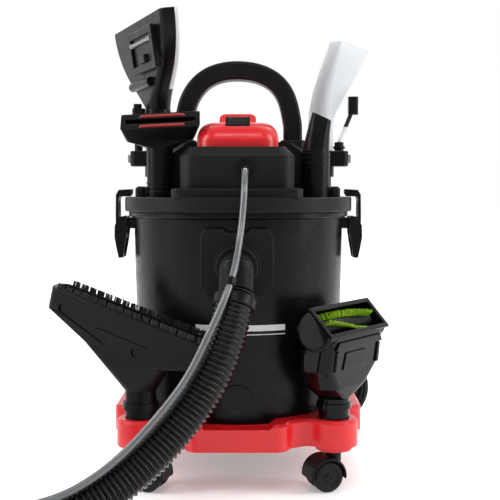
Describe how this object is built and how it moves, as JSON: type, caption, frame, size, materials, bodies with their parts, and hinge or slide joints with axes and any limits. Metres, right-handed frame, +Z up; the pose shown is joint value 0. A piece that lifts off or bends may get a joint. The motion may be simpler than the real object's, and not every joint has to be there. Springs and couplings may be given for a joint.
{
  "type": "shop vacuum",
  "caption": "Wheeled wet and dry shop vacuum with spray extraction: round tank on a caster base, latched motor head, hose with spray handle, and cleaning tools stored on the machine.",
  "frame": {"origin": "on the floor, bottom centre of the box of all rigid parts (hose, tube and cord left out)", "axes": "+Z up, -Y towards the front with the hose inlet, +X to the machine's right seen from the front"},
  "size_m": [0.7859, 0.6499, 0.631],
  "materials": {
    "red_plastic": "satin moulded",
    "black_tank": "smooth moulded",
    "black_plastic": "fine grain",
    "gloss_black": "gloss",
    "grey_plastic": "fine grain",
    "clear_plastic": "frosted clear",
    "hose_plastic": "corrugated",
    "tube_vinyl": "translucent",
    "cord_rubber": "satin",
    "steel": "polished",
    "bristle": "nylon bristle",
    "lint_fabric": "napped",
    "filter_paper": "pleated",
    "wheel_plastic": "smooth"
  },
  "bodies": {
    "machine": {"dolly_base": "red_plastic", "base_screws": "steel", "caster_stems": "steel", "tank": "black_tank", "inlet_fitting": "black_plastic", "lid": "black_plastic", "head_housing": "black_plastic", "top_cover": "red_plastic", "carry_handle": "black_plastic", "motor_stator": "steel", "filter_cage": "black_plastic", "filter_cartridge": "filter_paper", "water_pump": "black_plastic", "fluid_port": "black_plastic", "hose_cuff": "black_plastic", "hose": "hose_plastic", "fluid_tube": "tube_vinyl", "hose_clips": "black_plastic", "spray_handle": "black_plastic", "cord_gland": "cord_rubber", "power_cord": "cord_rubber", "cord_coil": "cord_rubber", "power_plug": "cord_rubber", "cord_hook": "black_plastic", "latch_brackets": "black_plastic"},
    "rotor": {"motor_rotor": "steel", "fan_impeller": "black_plastic"},
    "float": {"float_ball": "black_plastic"},
    "switch": {"power_switch": "black_plastic"},
    "lever_left": {"latch_lever_left": "black_plastic"},
    "lever_right": {"latch_lever_right": "black_plastic"},
    "claw_left": {"latch_claw_left": "black_plastic"},
    "claw_right": {"latch_claw_right": "black_plastic"},
    "floor_nozzle": {"floor_nozzle": "black_plastic", "floor_nozzle_brushes": "bristle"},
    "turbo_brush": {"turbo_housing": "gloss_black", "turbo_belt": "cord_rubber"},
    "roller": {"brush_roller": "bristle"},
    "turbine": {"turbine": "red_plastic"},
    "upholstery_nozzle": {"upholstery_nozzle": "black_plastic", "lint_strips": "lint_fabric"},
    "crevice_nozzle": {"crevice_nozzle": "black_plastic"},
    "wand_left": {"extension_tube_left": "black_plastic", "extraction_nozzle": "black_plastic", "extraction_window": "clear_plastic", "spray_jet_left": "black_plastic"},
    "wand_right": {"extension_tube_right": "black_plastic", "clear_nozzle": "clear_plastic", "spray_jet_right": "black_plastic"},
    "button_left": {"tube_button_left": "grey_plastic"},
    "button_right": {"tube_button_right": "grey_plastic"},
    "trigger": {"spray_trigger": "red_plastic"},
    "caster_front_left": {"caster_housing_front_left": "black_plastic"},
    "wheels_front_left": {"caster_wheels_front_left": "wheel_plastic"},
    "caster_front_right": {"caster_housing_front_right": "black_plastic"},
    "wheels_front_right": {"caster_wheels_front_right": "wheel_plastic"},
    "caster_rear_left": {"caster_housing_rear_left": "black_plastic"},
    "wheels_rear_left": {"caster_wheels_rear_left": "wheel_plastic"},
    "caster_rear_right": {"caster_housing_rear_right": "black_plastic"},
    "wheels_rear_right": {"caster_wheels_rear_right": "wheel_plastic"}
  },
  "joints": [
    {"name": "motor_spin", "type": "hinge", "parent": "machine", "child": "rotor", "pos_m": [0.19094, -0.02157, 0.4], "axis": [0, 0, 1], "continuous": true},
    {"name": "float_lift", "type": "slide", "parent": "machine", "child": "float", "axis": [0, 0, 1], "range_m": [0, 0.04]},
    {"name": "switch_rock", "type": "hinge", "parent": "machine", "child": "switch", "pos_m": [0.19094, -0.08386, 0.46028], "axis": [1, 0, 0], "range_deg": [-14, 0]},
    {"name": "latch_open_left", "type": "hinge", "parent": "machine", "child": "lever_left", "pos_m": [0.03494, -0.02157, 0.337], "axis": [0, 1, 0], "range_deg": [0, 95]},
    {"name": "claw_swing_left", "type": "hinge", "parent": "lever_left", "child": "claw_left", "pos_m": [0.03194, -0.02157, 0.316], "axis": [0, 1, 0], "range_deg": [-95, 0]},
    {"name": "latch_open_right", "type": "hinge", "parent": "machine", "child": "lever_right", "pos_m": [0.34694, -0.02157, 0.337], "axis": [0, -1, 0], "range_deg": [0, 95]},
    {"name": "claw_swing_right", "type": "hinge", "parent": "lever_right", "child": "claw_right", "pos_m": [0.34994, -0.02157, 0.316], "axis": [0, -1, 0], "range_deg": [-95, 0]},
    {"name": "swivel_front_left", "type": "hinge", "parent": "machine", "child": "caster_front_left", "pos_m": [0.06894, -0.14357, 0.045], "axis": [0, 0, 1], "continuous": true},
    {"name": "roll_front_left", "type": "hinge", "parent": "caster_front_left", "child": "wheels_front_left", "pos_m": [0.08116, -0.14801, 0.02], "axis": [0.342, 0.9397, 0], "continuous": true},
    {"name": "swivel_front_right", "type": "hinge", "parent": "machine", "child": "caster_front_right", "pos_m": [0.31294, -0.14357, 0.045], "axis": [0, 0, 1], "continuous": true},
    {"name": "roll_front_right", "type": "hinge", "parent": "caster_front_right", "child": "wheels_front_right", "pos_m": [0.30073, -0.14801, 0.02], "axis": [0.342, -0.9397, 0], "continuous": true},
    {"name": "swivel_rear_left", "type": "hinge", "parent": "machine", "child": "caster_rear_left", "pos_m": [0.06894, 0.10043, 0.045], "axis": [0, 0, 1], "continuous": true},
    {"name": "roll_rear_left", "type": "hinge", "parent": "caster_rear_left", "child": "wheels_rear_left", "pos_m": [0.05769, 0.10693, 0.02], "axis": [-0.5, -0.866, 0], "continuous": true},
    {"name": "swivel_rear_right", "type": "hinge", "parent": "machine", "child": "caster_rear_right", "pos_m": [0.31294, 0.10043, 0.045], "axis": [0, 0, 1], "continuous": true},
    {"name": "roll_rear_right", "type": "hinge", "parent": "caster_rear_right", "child": "wheels_rear_right", "pos_m": [0.3242, 0.10693, 0.02], "axis": [-0.5, 0.866, 0], "continuous": true},
    {"name": "floor_nozzle_lift", "type": "slide", "parent": "machine", "child": "floor_nozzle", "axis": [0, 0, 1], "range_m": [0, 0.03]},
    {"name": "turbo_brush_lift", "type": "slide", "parent": "machine", "child": "turbo_brush", "axis": [0, 0, 1], "range_m": [0, 0.035]},
    {"name": "upholstery_lift", "type": "slide", "parent": "machine", "child": "upholstery_nozzle", "axis": [0, 0, 1], "range_m": [0, 0.045]},
    {"name": "crevice_lift", "type": "slide", "parent": "machine", "child": "crevice_nozzle", "axis": [0, 0, 1], "range_m": [0, 0.045]},
    {"name": "wand_left_lift", "type": "slide", "parent": "machine", "child": "wand_left", "axis": [0, 0, 1], "range_m": [0, 0.04]},
    {"name": "wand_right_lift", "type": "slide", "parent": "machine", "child": "wand_right", "axis": [0, 0, 1], "range_m": [0, 0.04]},
    {"name": "roller_spin", "type": "hinge", "parent": "turbo_brush", "child": "roller", "pos_m": [0.32344, -0.14527, 0.209], "axis": [0.6157, 0.788, 0], "continuous": true},
    {"name": "turbine_spin", "type": "hinge", "parent": "turbo_brush", "child": "turbine", "pos_m": [0.32108, -0.14342, 0.169], "axis": [0.6157, 0.788, 0], "continuous": true},
    {"name": "button_press_left", "type": "slide", "parent": "wand_left", "child": "button_left", "axis": [1, 0, 0], "range_m": [0, 0.003], "stiffness_N_per_m": 400, "springref_m": -0.002},
    {"name": "button_press_right", "type": "slide", "parent": "wand_right", "child": "button_right", "axis": [-1, 0, 0], "range_m": [0, 0.003], "stiffness_N_per_m": 400, "springref_m": -0.002},
    {"name": "trigger_pull", "type": "hinge", "parent": "machine", "child": "trigger", "pos_m": [-0.35124, 0.15444, 0.05536], "axis": [-0.998, 0.0628, 0], "range_deg": [-10, 0], "stiffness_Nm_per_rad": 0.3, "springref_deg": 5.73}
  ],
  "couplings": [
    {"joint": "claw_swing_left", "follows": "latch_open_left", "ratio": -1},
    {"joint": "claw_swing_right", "follows": "latch_open_right", "ratio": -1}
  ]
}
